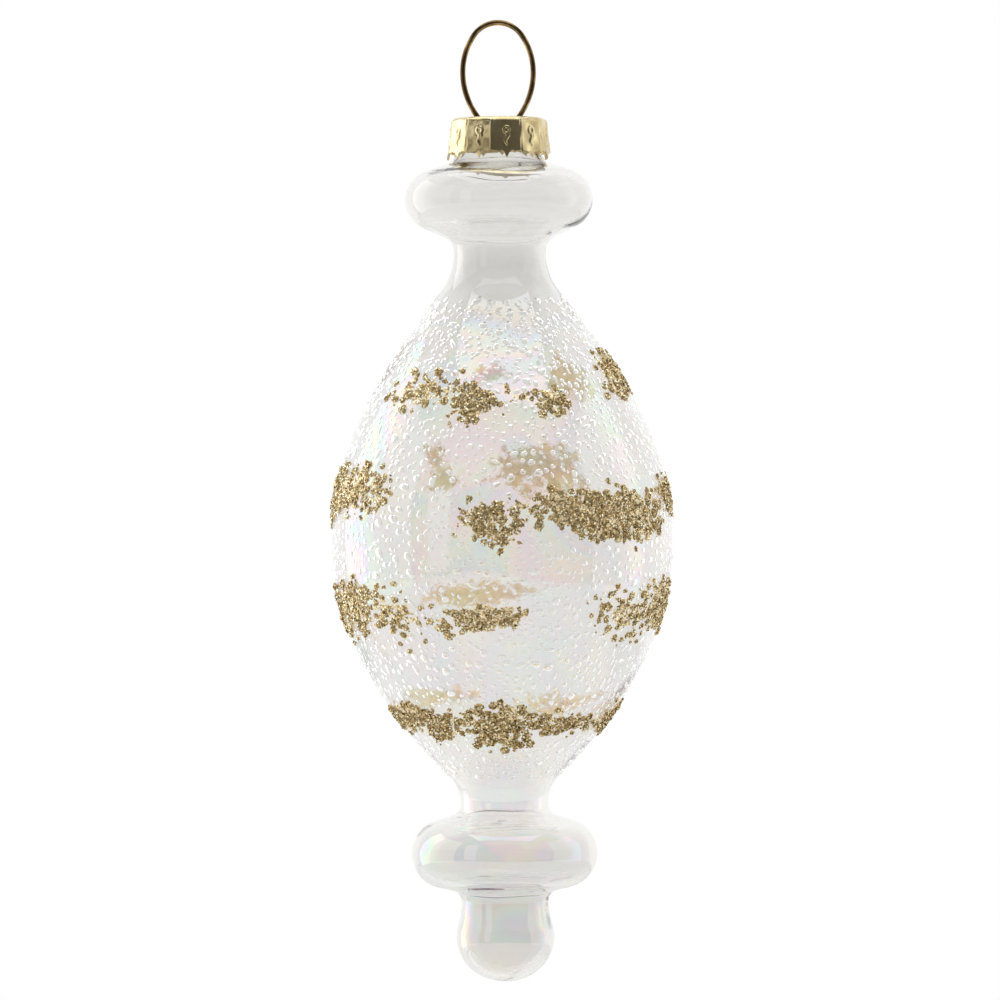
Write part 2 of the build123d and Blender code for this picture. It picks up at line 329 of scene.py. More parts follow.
def glass_outline():
    """The blown glass from the stem's rim to the lowest point of the ball."""
    path = Outline(STEM_R, STEM_TOP_Z)
    path.run(STEM_STRAIGHT)
    path.bend(-1.75, 72)
    path.reach(COLLAR_R - arc_across(COLLAR_EDGE_R, 72))
    path.bend(COLLAR_EDGE_R, -66)
    path.reach(NECK_R + arc_across(NECK_WAIST_R, 66))
    path.bend(-NECK_WAIST_R, 0)
    path.bend(-9.5, BULB_LEAN)
    # The cone is as long as the two arcs above the widest place leave room for.
    shoulder = SHOULDER_ARC_R * (cos(radians(SHOULDER_LEAN)) - cos(radians(BULB_LEAN)))
    path.reach(BULB_R - arc_across(BULB_ARC_R, SHOULDER_LEAN) - shoulder)
    path.bend(SHOULDER_ARC_R, SHOULDER_LEAN)
    path.bend(BULB_ARC_R, 0)
    path.run(BULB_BAND)
    path.bend(34.9, -22)
    path.bend(57.4, -45)
    path.reach(LOWER_NECK_R + arc_across(LOWER_WAIST_R, 45))
    path.bend(-LOWER_WAIST_R, 0)
    path.bend(-1.67, 72)
    path.reach(FOOT_DISC_R - arc_across(FOOT_DISC_EDGE_R, 72))
    path.bend(FOOT_DISC_EDGE_R, -75)
    path.reach(TIP_NECK_R + arc_across(TIP_WAIST_R, 75))
    path.bend(-TIP_WAIST_R, 0)
    ball = TIP_BALL_R - arc_across(TIP_BALL_SIDE_R, TIP_LEAN)
    path.bend(-(ball - TIP_NECK_R) / (1 - cos(radians(TIP_LEAN))), TIP_LEAN)
    path.bend(TIP_BALL_SIDE_R, -45)
    path.bend(path.rows[-1][0] / cos(radians(45)), -90)
    return path.table()


ALONG, OUT_R, OUT_Z, OUT_HEADING = glass_outline()


def along_at(z):
    """Distance along the outline at a height."""
    return np.interp(-np.asarray(z, float), -OUT_Z, ALONG)


GLASS_WAVES = (1, 61.0), (2, 37.0), (3, 23.0), (5, 15.0), (4, 9.7)     # how many go round, length of one
EVEN_TIP = 6                  # the unevenness fades out over this length before the lowest point


def waves(phi, along, depth, key):
    """Slow hand-blown unevenness of a surface, about as deep as depth."""
    total = 0.0
    for i, (k, length) in enumerate(GLASS_WAVES):
        total = total + sin(key + i) * np.sin(k * phi + 2 * pi * along / length + key * (i + 1.7))
    return depth * total / 2.2


def on_glass(along, phi, lift=0.0, wave=0.05, key=1.3):
    """Points on the glass and the outward, eastward and downward directions there."""
    along, phi = np.broadcast_arrays(np.asarray(along, float), np.asarray(phi, float))
    r, z = np.interp(along, ALONG, OUT_R), np.interp(along, ALONG, OUT_Z)
    h = np.interp(along, ALONG, OUT_HEADING)
    fade = np.clip((ALONG[-1] - along) / EVEN_TIP, 0, 1)
    off = lift + waves(phi, along, wave, key) * fade
    r, z = r + off * np.cos(h), z + off * np.sin(h)
    s, c = np.sin(phi), np.cos(phi)
    points = np.stack([r * s, -r * c, z], -1)
    out = np.stack([np.cos(h) * s, -np.cos(h) * c, np.sin(h)], -1)
    east = np.stack([c, s, np.zeros_like(s)], -1)
    down = np.stack([np.sin(h) * s, -np.sin(h) * c, -np.cos(h)], -1)
    return points, out, east, down


# ---------------------------------------------------------------- materials


def new_material(name):
    material = bpy.data.materials.new(name)
    material.use_nodes = True
    n = Nodes(material.node_tree)
    shader = n.add("ShaderNodeBsdfPrincipled")
    n.link(shader.outputs[0], n.add("ShaderNodeOutputMaterial").inputs["Surface"])
    return material, n, shader


def bump(n, shader, height, strength, distance):
    """Roughness of the surface, up to distance deep."""
    node = n.add("ShaderNodeBump")
    node.inputs["Strength"].default_value = strength
    node.inputs["Distance"].default_value = distance * MM
    n.link(height, node.inputs["Height"])
    n.link(node.outputs["Normal"], shader.inputs["Normal"])


# Painted shade by height: the glass is made greyer at some heights to stand in for the grey reflections
# there, over a slight real tint: (height, tone)
GLASS_SHADE_BY_HEIGHT = [(0, 0.90), (-22, 0.88), (-31, 0.865), (-35, 0.79), (-40, 0.82), (-50, 0.89), (-100, 0.88),
               (-108, 0.90), (-115, 0.91), (-122, 0.83), (-126, 0.80), (-140, 0.83)]
FILM_TOP_Z, FILM_FULL_Z = -36.0, -50.0     # the lustre fades in from the neck to the bulb
GRAIN_BOTTOM_Z, GRAIN_FADE = -112.0, 4


def height_tone(n, tones, tint):
    """A colour by height: tones is a list of (height, tone), and each tone is multiplied by the tint."""
    low = min(z for z, _ in tones)
    along = n.spread(n.height(), 0, low * MM, 0, 1)
    stops = [(z / low, tuple(tone * c for c in tint)) for z, tone in tones]
    return n.ramp(along, stops)


def glass_material(name, ior, tint, film=None, film_range=(200, 480), film_scale=70.0, tones=GLASS_SHADE_BY_HEIGHT,
                   edge_shade=(1, 1, 1), grain=0.0):
    """Clear glass, whose colour turns darker where it is seen edge on: a little of that is the longer way
    through the wall, the rest is painted shade for dark outlines and rims.

    film is the refractive index of a lustre on it, film_range its thickness in nanometres and film_scale how
    many of its clouds go in a metre. grain is the depth of a fine roughness.
    """
    material, n, shader = new_material(name)
    shader.inputs["Transmission Weight"].default_value = 1
    shader.inputs["IOR"].default_value = ior
    # Painted shade: the colour turns toward edge_shade where the surface is seen edge on.
    facing = n.add("ShaderNodeLayerWeight")
    facing.inputs["Blend"].default_value = 0.5
    edge = n.spread(facing.outputs["Facing"], 0.5, 1.0, 0, 1, smooth=True)
    mix = n.add("ShaderNodeMix", data_type="RGBA")
    n.link(edge, mix.inputs["Factor"])
    # For the blown glass these tones by height are painted shade.
    n.link(height_tone(n, tones, tint), mix.inputs[6])
    mix.inputs[7].default_value = (*edge_shade, 1)
    n.link(mix.outputs[2], shader.inputs["Base Color"])
    haze = n.spread(n.noise(90, 3), 0.45, 0.8, 0.0, 0.03)
    n.link(haze, shader.inputs["Roughness"])
    if film:
        shader.inputs["Thin Film IOR"].default_value = film
        thick = n.spread(n.noise(film_scale, 2.5, 0.6, distortion=0.6), 0.3, 0.7, *film_range)
        height = n.height()
        below_neck = n.spread(height, FILM_TOP_Z * MM, FILM_FULL_Z * MM, 0, 1, smooth=True)
        n.link(n.math("MULTIPLY", thick, below_neck), shader.inputs["Thin Film Thickness"])
        if grain:
            grain_end = GRAIN_BOTTOM_Z + GRAIN_FADE
            on_bulb = n.spread(height, GRAIN_BOTTOM_Z * MM, grain_end * MM, 0, 1, smooth=True)
            on_bulb = n.math("MULTIPLY", below_neck, on_bulb)
            rough = n.math("MULTIPLY", n.noise(1000, 3, 0.6, distortion=0.8), on_bulb)
            bump(n, shader, rough, 1.0, grain)
    return material


def metal_material(name, colours, rough, grain):
    """Gold-coloured metal whose tone and polish vary a little."""
    material, n, shader = new_material(name)
    shader.inputs["Metallic"].default_value = 1
    n.link(n.ramp(n.noise(220, 4, 0.6), list(zip((0.3, 0.5, 0.72), colours))), shader.inputs["Base Color"])
    n.link(n.spread(n.noise(500, 3), 0.3, 0.7, *rough), shader.inputs["Roughness"])
    bump(n, shader, n.noise(grain, 3, 0.6), 0.25, 0.06)
    return material


def flake_material():
    """Glitter flakes: each flake has one tone, from dark bronze to pale gold."""
    material, n, shader = new_material("gold_flakes")
    tone = n.add("ShaderNodeAttribute", attribute_name="tone").outputs["Fac"]
    stops = [(0.0, (0.08, 0.045, 0.012)), (0.25, (0.40, 0.27, 0.09)),
             (0.55, (0.92, 0.71, 0.34)), (1.0, (1.0, 0.97, 0.76))]
    n.link(n.ramp(tone, stops), shader.inputs["Base Color"])
    shader.inputs["Metallic"].default_value = 1
    n.link(n.spread(tone, 0, 1, 0.45, 0.22), shader.inputs["Roughness"])
    return material


def glue_material(name, colours, rough, scale):
    """Resin full of fine glitter, as it is between flakes or seen from behind."""
    material, n, shader = new_material(name)
    speck = n.noise(scale, 3, 0.75)
    n.link(n.ramp(speck, list(zip((0.35, 0.5, 0.68), colours))), shader.inputs["Base Color"])
    shader.inputs["Roughness"].default_value = rough
    shader.inputs["Metallic"].default_value = 0.3
    bump(n, shader, speck, 0.4, 0.1)
    return material


# Painted shade: grey outlines where the blown glass is seen edge on.
BLOWN = glass_material("blown_glass", 1.5, (1.0, 0.992, 0.965), film=1.80,
                       edge_shade=(0.87, 0.87, 0.85), grain=0.016)
BLOWN_INSIDE = glass_material("blown_glass_inside", 1.5, (1.0, 0.998, 0.985))
# Painted shade: dark rims where the drops are seen edge on.
DROP = glass_material("clear_resin", 1.4, (0.99, 0.985, 0.965), film=1.6, film_range=(240, 520),
                      film_scale=110.0, tones=[(0, 1.0), (-140, 1.0)], edge_shade=(0.62, 0.61, 0.57))
FLAKES = flake_material()
GLITTER_RESIN = glue_material(
    "glitter_resin", [(0.12, 0.07, 0.02), (0.30, 0.20, 0.075), (0.55, 0.42, 0.2)], 0.5, 2600)
GLUE_BACK = glue_material(
    "glitter_back", [(0.60, 0.46, 0.26), (0.74, 0.60, 0.37), (0.86, 0.73, 0.50)], 0.55, 900)
CAP_GOLD = metal_material(
    "cap_gold", [(0.50, 0.39, 0.19), (0.68, 0.555, 0.30), (0.81, 0.70, 0.42)], (0.16, 0.3), 700)
WIRE_GOLD = metal_material(
    "wire_gold", [(0.06, 0.035, 0.014), (0.22, 0.14, 0.06), (0.75, 0.55, 0.26)], (0.08, 0.2), 900)

# ---------------------------------------------------------------- blown glass

SIDES = 128
INSIDE_WAVE, INSIDE_KEY = 0.09, 4.1


def blown_glass():
    phi = np.arange(SIDES) * 2 * pi / SIDES
    rows = len(ALONG)
    outer = on_glass(ALONG[:, None], phi[None, :])[0]
    inner = on_glass(ALONG[:, None], phi[None, :], -WALL, INSIDE_WAVE, INSIDE_KEY)[0]
    inner[-1], outer[-1] = inner[-1].mean(0), outer[-1].mean(0)
    g = Gather()
    g.add(outer, grid_faces(rows, SIDES, flip=True), 0)
    g.add(inner, grid_faces(rows, SIDES), 1)
    # The fire-polished rim joins the two walls.
    turn = np.linspace(0, pi, 7)
    middle, half = (outer[0] + inner[0]) / 2, (outer[0] - inner[0]) / 2
    lift = np.array([0, 0, np.linalg.norm(half, axis=1).mean()])
    rim = [middle + half * cos(t) + lift * sin(t) for t in turn]
    g.add(np.array(rim), grid_faces(len(turn), SIDES), 0)
    return g.object("blown_glass", [BLOWN, BLOWN_INSIDE])


# ---------------------------------------------------------------- drops and glitter

# Every glitter patch as ellipses: (azimuth, height, half span in degrees, half height, slant, fill)
PATCHES = {
    "glitter_upper_1": [(-13, -55.1, 9, 2.5, -10, 0.92), (-36, -53.6, 17, 2.5, -4, 0.42)],
    "glitter_upper_2": [(22, -55.2, 6.5, 1.6, 12, 0.85), (8, -54.4, 8, 1.2, 0, 0.22)],
    "glitter_upper_3": [(78, -50.8, 21, 2.6, -8, 0.95)],
    "glitter_upper_4": [(143, -51.1, 12, 2.5, 6, 0.8)],
    "glitter_upper_5": [(184, -50.4, 9, 1.1, 0, 0.75)],
    "glitter_middle_1": [(-72, -67.5, 23, 3.0, -6, 0.9), (-49, -68.2, 7, 2.6, 0, 0.42)],
    "glitter_middle_2": [(-5, -71.6, 9, 2.3, 8, 0.75), (-2, -74.2, 7, 1.4, 0, 0.6)],
    "glitter_middle_3": [(27, -70.4, 17, 2.4, 4, 0.92), (48, -71.4, 16, 3.1, 4, 0.96),
                         (36, -72.6, 12, 2.0, 0, 0.85)],
    "glitter_middle_4": [(88, -68.7, 18, 2.2, 3, 0.9)],
    "glitter_middle_5": [(167, -64.2, 16, 3.2, -5, 0.85)],
    "glitter_middle_6": [(203, -65.1, 5, 2.4, 0, 0.6)],
    "glitter_lower_1": [(-70, -84.4, 21, 3.3, -3, 0.7), (-42, -85.4, 15, 3.0, 6, 0.32)],
    "glitter_lower_2": [(-7, -86.0, 12, 1.7, -4, 0.95), (-22, -87.0, 7, 1.1, 0, 0.5)],
    "glitter_lower_3": [(49, -86.0, 13, 3.2, 4, 0.45), (76, -84.6, 16, 3.0, 0, 0.8)],
    "glitter_lower_4": [(190, -83.0, 19, 1.7, 0, 0.8)],
    "glitter_bottom_1": [(-64, -100.3, 22, 1.6, -6, 0.9), (-38, -101.4, 13, 2.0, -6, 0.85)],
    "glitter_bottom_2": [(-3, -101.4, 17, 2.8, 0, 0.98), (6, -103.2, 8, 1.1, 0, 0.7)],
    "glitter_bottom_3": [(36, -101.3, 18, 1.25, 2, 0.85)],
    "glitter_bottom_4": [(88, -100.9, 20, 1.9, 0, 0.85)],
    "glitter_bottom_5": [(146, -99.1, 23, 1.3, 3, 0.8)],
    "glitter_bottom_6": [(218, -98.3, 20, 1.2, 0, 0.75)],
}
DROPS_TOP_Z, DROPS_BOTTOM_Z = -39.8, -109.5    # clear drops cover the bulb between these heights


class Scatter:
    """Keeps drops apart on the bulb, by looking only at the drops in the cells near by."""

    CELL = 2.0

    def __init__(self):
        self.cells = {}

    def fits(self, point, radius, spacing):
        """Takes the place and says yes if no drop is nearer than spacing times the two radii."""
        key = tuple(floor(c / self.CELL) for c in point)
        for step in product((-1, 0, 1), repeat=3):
            for other, r in self.cells.get(tuple(k + d for k, d in zip(key, step)), ()):
                gap = sqrt(sum((a - b) ** 2 for a, b in zip(point, other)))
                if gap < spacing * (radius + r):
                    return False
        self.cells.setdefault(key, []).append((tuple(point), radius))
        return True


# Each ring of a dome as (reach across, part of the height), from the base, which sink sets, to the top.
DOME_RINGS = (1.0, None), (0.97, 0.26), (0.78, 0.64), (0.44, 0.91), (0.0, 1.0)


def domes(along, phi, across, lengthwise, turn, height, segments, sink):
    """Points of low domes on the glass, as an array of (dome, point, xyz)."""
    n = len(along)
    base, out, east, down = on_glass(along, phi)
    theta = np.arange(segments) * 2 * pi / segments + rng.uniform(0, 1, (n, 1))
    uneven = 1 + 0.10 * np.sin(2 * theta + rng.uniform(0, 6, (n, 1)))
    uneven = uneven + 0.07 * np.sin(3 * theta + rng.uniform(0, 6, (n, 1)))
    points = []
    for reach, lift in DOME_RINGS:
        a = across[:, None] * reach * uneven * np.cos(theta)
        b = lengthwise[:, None] * reach * uneven * np.sin(theta)
        u = a * np.cos(turn)[:, None] - b * np.sin(turn)[:, None]
        v = a * np.sin(turn)[:, None] + b * np.cos(turn)[:, None]
        w = np.full_like(u, -sink) if lift is None else np.repeat(height[:, None] * lift, segments, 1)
        if reach == 0.0:
            u, v, w = u[:, :1], v[:, :1], w[:, :1]
        place = base[:, None] + u[..., None] * east[:, None] + v[..., None] * down[:, None]
        points.append(place + w[..., None] * out[:, None])
    return np.concatenate(points, 1)


def dome_faces(points, segments):
    """Faces over every dome of an array from domes, and the flat backs under them."""
    n, per = points.shape[:2]
    start = (np.arange(n) * per)[:, None, None]
    rings = len(DOME_RINGS) - 1
    quads = (grid_faces(rings, segments)[None] + start).reshape(-1, 4)
    ring = np.arange(segments)
    last = (rings - 1) * segments
    tops = np.stack([last + ring, last + (ring + 1) % segments, np.full(segments, per - 1)], -1)
    tops = (tops[None] + start).reshape(-1, 3)
    backs = (ring[::-1][None, None] + start).reshape(-1, segments)
    return [quads, tops], backs


def inside(patch, along, phi):
    """How deep a place lies in a patch (over 0 is inside), and how full the patch is there."""
    r, z = np.interp(along, ALONG, OUT_R), np.interp(along, ALONG, OUT_Z)
    best, fill = -9.0, 0.0
    for azimuth, height, half_span, half_height, slant, full in PATCHES[patch]:
        u = (phi - radians(azimuth) + pi) % (2 * pi) - pi
        u, v = u * r, z - height
        c, s = cos(radians(slant)), sin(radians(slant))
        a, b = (u * c - v * s) / (radians(half_span) * r), (u * s + v * c) / half_height
        depth = 1 - sqrt(a * a + b * b)
        if depth > best:
            best, fill = depth, full
    return best, fill


RAGGED_EDGE = 0.42            # how far a patch's edge wanders, as a part of its half size


def ragged(along, phi, key):
    """Small-scale unevenness, about from -1 to 1, for the edges of a patch."""
    r = np.interp(along, ALONG, OUT_R)
    x, y = phi * r, along
    total = 0.0
    for i, length in enumerate((7.3, 4.1, 2.6, 1.7)):
        a = key * 1.7 + i * 2.1
        lengthwise = sin(2 * pi * (x * cos(a) + y * sin(a)) / length + a * 3)
        crosswise = sin(2 * pi * (y * cos(a) - x * sin(a)) / length + a)
        total += lengthwise * crosswise
    return total / 2


scatter = Scatter()


def patch_sites(patch, key):
    """Gold drops and loose specks of one patch, as rows of distance along, azimuth and radius.

    Both are tried in proportion to the area of each ellipse. The drops keep apart, and few stray past the
    edge. The specks lie on both sides of the edge.
    """
    found = []
    for azimuth, height, half_span, half_height, _, _ in PATCHES[patch]:
        r = float(np.interp(along_at(height), ALONG, OUT_R))
        half_width = radians(half_span) * r
        drop_tries = int(16 * half_width * half_height) + 40
        speck_tries = int(5 * half_width * half_height) + 20
        for _ in range(drop_tries):
            u, v = rng.uniform(-1.45, 1.45, 2)
            along = float(along_at(height + v * (half_height + 0.6)))
            phi = radians(azimuth) + u * half_width / r
            depth, fill = inside(patch, along, phi)
            edge = depth + RAGGED_EDGE * ragged(along, phi, key)
            radius = rng.uniform(0.34, 0.74)
            if edge < -0.12:
                if rng.uniform() > 0.05 or edge < -0.45:
                    continue
                radius = rng.uniform(0.28, 0.5)
            elif rng.uniform() > fill:
                continue
            point = on_glass(along, phi)[0]
            if scatter.fits(point, radius, 0.62 + 0.25 * (1 - fill)):
                found.append((along, phi, radius))
        for _ in range(speck_tries):
            u, v = rng.uniform(-1.6, 1.6, 2)
            along = float(along_at(height + v * (half_height + 0.8)))
            phi = radians(azimuth) + u * half_width / r
            edge = inside(patch, along, phi)[0] + RAGGED_EDGE * ragged(along, phi, key)
            if -0.4 < edge < 0.25 and rng.uniform() < 0.5 + 0.9 * edge:
                found.append((along, phi, rng.uniform(0.1, 0.22)))
    return np.array(found)


RESIN_SLOT, BACK_SLOT, FLAKE_SLOT = 0, 1, 2      # material slots of a glitter piece
PATCH_SEGMENTS = 9


def glitter_patch(patch, key):
    """One patch: drops coated with gold flakes, with a flat glue back that shows through the glass."""
    along, phi, radius = patch_sites(patch, key).T
    n = len(along)
    height = radius * rng.uniform(0.4, 0.7, n)
    stretch = rng.uniform(0.85, 1.25, n)
    turn = rng.uniform(0, pi, n)
    across, lengthwise = radius * stretch, radius / stretch
    points = domes(along, phi, across, lengthwise, turn, height, PATCH_SEGMENTS, -0.03)
    tops, backs = dome_faces(points, PATCH_SEGMENTS)
    g = Gather()
    g.add(points, tops, RESIN_SLOT)
    g.add(points, backs, BACK_SLOT, smooth=False)
    glue_film(g, patch, key)
    flakes(g, along, phi, across, lengthwise, turn, height)
    return g.object(patch + "_gold", [GLITTER_RESIN, GLUE_BACK, FLAKES])


GLUE_CELL = 0.36
GLUE_CORNERS = np.array([(0, 0), (0, 1), (1, 1), (1, 0)]) * 1.02       # neighbours lap over by a little
GLUE_LIFT, GLUE_FLAKE_LIFT = 0.045, 0.07
FLAKES_PER_CELL = 3


def glue_film(g, patch, key):
    """The thin glue under a patch's fullest parts. It carries flakes too, and shows flat from behind."""
    covered = []
    top = max(h + 1.2 * half for _, h, _, half, _, _ in PATCHES[patch])
    bottom = min(h - 1.2 * half for _, h, _, half, _, _ in PATCHES[patch])
    west = min(radians(a - 1.3 * half) for a, _, half, _, _, _ in PATCHES[patch])
    east = max(radians(a + 1.3 * half) for a, _, half, _, _, _ in PATCHES[patch])
    for start in np.arange(float(along_at(top)), float(along_at(bottom)), GLUE_CELL):
        step = GLUE_CELL / float(np.interp(start, ALONG, OUT_R))
        for phi in np.arange(west, east, step):
            middle = start + GLUE_CELL / 2, phi + step / 2
            depth, fill = inside(patch, *middle)
            gaps = 0.30 * ragged(start * 1.9, phi * 1.9, key + 3)
            if depth + RAGGED_EDGE * ragged(start, phi, key) + gaps < 0.8 - 0.75 * fill:
                continue
            at = start + GLUE_CORNERS[:, 0] * GLUE_CELL, phi + GLUE_CORNERS[:, 1] * step
            g.add(on_glass(*at, GLUE_LIFT)[0], np.array([[0, 1, 2, 3]]), BACK_SLOT)
            covered.append(middle)
    if covered:
        along, phi = np.repeat(np.array(covered), FLAKES_PER_CELL, 0).T
        n = len(along)
        along = along + rng.uniform(-0.5, 0.5, n) * GLUE_CELL
        phi = phi + rng.uniform(-0.5, 0.5, n) * GLUE_CELL / np.interp(along, ALONG, OUT_R)
        base, out, _, _ = on_glass(along, phi, GLUE_FLAKE_LIFT)
        loose_flakes(g, base, out + rng.normal(0, 0.45, (n, 3)))


FLAKES_PER_AREA = 95
SHADED_FLAKES_Z, FLAKE_SHADE_FADE = -101, 12           # painted shade: the flakes are darkest from here down, where less light falls from above, and paler over the fade


def flakes(g, along, phi, across, lengthwise, turn, height):
    """Six-sided flakes over the domes and a few on the glass beside them."""
    count = np.maximum(5, (across * lengthwise * FLAKES_PER_AREA).astype(int))
    owner = np.repeat(np.arange(len(along)), count)
    n = len(owner)
    base, out, east, down = (a[owner] for a in on_glass(along, phi))
    rho, theta = np.sqrt(rng.uniform(0, 1.18, n)), rng.uniform(0, 2 * pi, n)
    over = np.clip(1 - rho ** 2, 0, 1)
    a, b = across[owner], lengthwise[owner]
    u, v = a * rho * np.cos(theta), b * rho * np.sin(theta)
    c, s = np.cos(turn[owner]), np.sin(turn[owner])
    w = height[owner] * over ** 0.45 + rng.uniform(0.015, 0.06, n)
    steep = np.where(over > 0, 0.9, 0.0)
    nu, nv = steep * u / a ** 2 * height[owner], steep * v / b ** 2 * height[owner]
    normal = (nu * c - nv * s)[:, None] * east + (nu * s + nv * c)[:, None] * down + out
    normal += rng.normal(0, 0.5, (n, 3))
    middle = base + (u * c - v * s)[:, None] * east + (u * s + v * c)[:, None] * down + w[:, None] * out
    loose_flakes(g, middle, normal)


def loose_flakes(g, middle, normal):
    """One flake at each place, facing along its normal. The lowest patches are darker, as painted shade for
    the light from above that reaches them less.
    """
    n = len(middle)
    normal = normal / np.linalg.norm(normal, axis=1)[:, None]
    side = np.cross(normal, rng.normal(0, 1, (n, 3)))
    side /= np.linalg.norm(side, axis=1)[:, None]
    other = np.cross(normal, side)
    size = rng.uniform(0.08, 0.17, n)
    corner = np.arange(6) * pi / 3
    ring = middle[:, None] + size[:, None, None] * (
        np.cos(corner)[None, :, None] * side[:, None] + np.sin(corner)[None, :, None] * other[:, None])
    # Painted shade: the lower the flake, the darker its tone.
    lit_share = np.clip((middle[:, 2] - SHADED_FLAKES_Z) / FLAKE_SHADE_FADE, 0, 1)
    tone = rng.beta(0.8 + 0.9 * lit_share, 0.9)
    g.add(ring, np.arange(6 * n).reshape(n, 6), FLAKE_SLOT, smooth=False, tone=np.repeat(tone, 6))


DROP_TRIES, QUICK_DROP_TRIES = 26000, 8000
DROP_SEGMENTS = 10
DROP_BANDS = ("upper", 0, -60), ("middle", -60, -80), ("lower", -80, -200)      # name, from and to a height


def clear_sites():
    """Clear drops between the patches: close together on the shoulder, more open and uneven below it."""
    found = []
    low, high = float(along_at(DROPS_TOP_Z)), float(along_at(DROPS_BOTTOM_Z))
    tries = DROP_TRIES
    for _ in range(tries):
        along, phi = rng.uniform(low, high), rng.uniform(-pi, pi)
        r = float(np.interp(along, ALONG, OUT_R))
        if rng.uniform() > r / BULB_R:
            continue
        z = float(np.interp(along, ALONG, OUT_Z))
        edge = min(z - DROPS_BOTTOM_Z, DROPS_TOP_Z - z) / 3 + 0.6 * ragged(along, phi, 3.3)
        if edge < 0 and rng.uniform() > 0.06:
            continue
        below_shoulder = max(0.0, min(1.0, (-50 - z) / 12))
        spacing = 0.9 + 0.35 * below_shoulder * (1 + 0.6 * ragged(along * 0.4, phi * 0.4, 1.1))
        radius = min(0.72, rng.gamma(7, 0.056))
        if radius < 0.2:
            continue
        if scatter.fits(on_glass(along, phi)[0], radius, spacing):
            found.append((along, phi, radius))
    return np.array(found)


def clear_drops():
    along, phi, radius = clear_sites().T
    n = len(along)
    stretch = np.where(rng.uniform(size=n) < 0.35, rng.uniform(1.15, 1.6, n), rng.uniform(0.95, 1.12, n))
    height = radius * rng.uniform(0.24, 0.42, n)
    turn = rng.uniform(0, pi, n)
    points = domes(along, phi, radius * stretch, radius / stretch, turn, height, DROP_SEGMENTS, 0.05)
    z = np.interp(along, ALONG, OUT_Z)
    made = []
    for name, top, bottom in DROP_BANDS:
        part = points[(z <= top) & (z > bottom)]
        tops, _ = dome_faces(part, DROP_SEGMENTS)
        g = Gather()
        g.add(part, tops)
        made.append(g.object("clear_drops_" + name, [DROP]))
    return made


def let_light_through(piece):
    """Light reaches dull surfaces and casts no hard shadow through this clear piece."""
    piece.visible_diffuse = False
    piece.visible_shadow = False


# ---------------------------------------------------------------- cap

FACETS = 11
FACET_TURN = radians(9.3)     # azimuth of the middle of the front facet
PITCH = 2 * pi / FACETS
COLUMNS = 40                  # of the mesh in one facet
SHOULDER_ROWS, SKIRT_ROWS = 8, 46
CAP_SHOULDER_R = 0.75         # rounding round the flat top
CAP_APOTHEM, CAP_SPREAD = 6.78, 0.62          # at the top, and how much more it is CAP_DEPTH further down
CAP_DEPTH = 6
SKIRT_BOTTOM, TOOTH = -18.75, 0.85
CREASE = 0.07
MOTIF_RELIEF, MOTIF_WIDTH = 0.13, 0.15
HOLE_X, HOLE_R = 2.74, 0.98   # the holes clear the wire at every pose
HOLE_SIDES = 24
MOTIF_RING_DROP, MOTIF_RING_R = 2.05, 0.42    # the raised ring, below the cap's top
STALK_TOP, STALK_LENGTH = -2.4, 1.9


def skirt_edge(u, facet):
    """Height of the lower edge, with a tooth at the middle of a facet and torn scallops beside it.

    u goes from -1 to 1 across the facet.
    """
    tooth = np.clip(1 - np.abs(u - 0.06 * np.sin(facet * 5.1)) / 0.26, 0, 1) ** 1.15
    scallop = 0.16 * np.abs(np.sin(5.2 * u + facet * 1.9)) + 0.1 * np.abs(np.sin(11.7 * u + facet * 4.3))
    return SKIRT_BOTTOM - TOOTH * tooth + scallop * (1 - tooth)


def motif_distance(x, z):
    """Distance from the figure pressed into each facet: a ring over two waved lines that run together."""
    ring = np.abs(np.hypot(x, (z + MOTIF_RING_DROP) * 0.9) - MOTIF_RING_R)
    t = np.clip((-z + STALK_TOP) / STALK_LENGTH, 0, 1)
    middle, apart = 0.2 * np.sin(t * 7), 0.2 * (1 - t)
    stalk = np.minimum(np.abs(x - middle - apart), np.abs(x - middle + apart))
    stalk = np.where((z < STALK_TOP) & (z > STALK_TOP - STALK_LENGTH), stalk, 9)
    return np.minimum(ring, stalk)


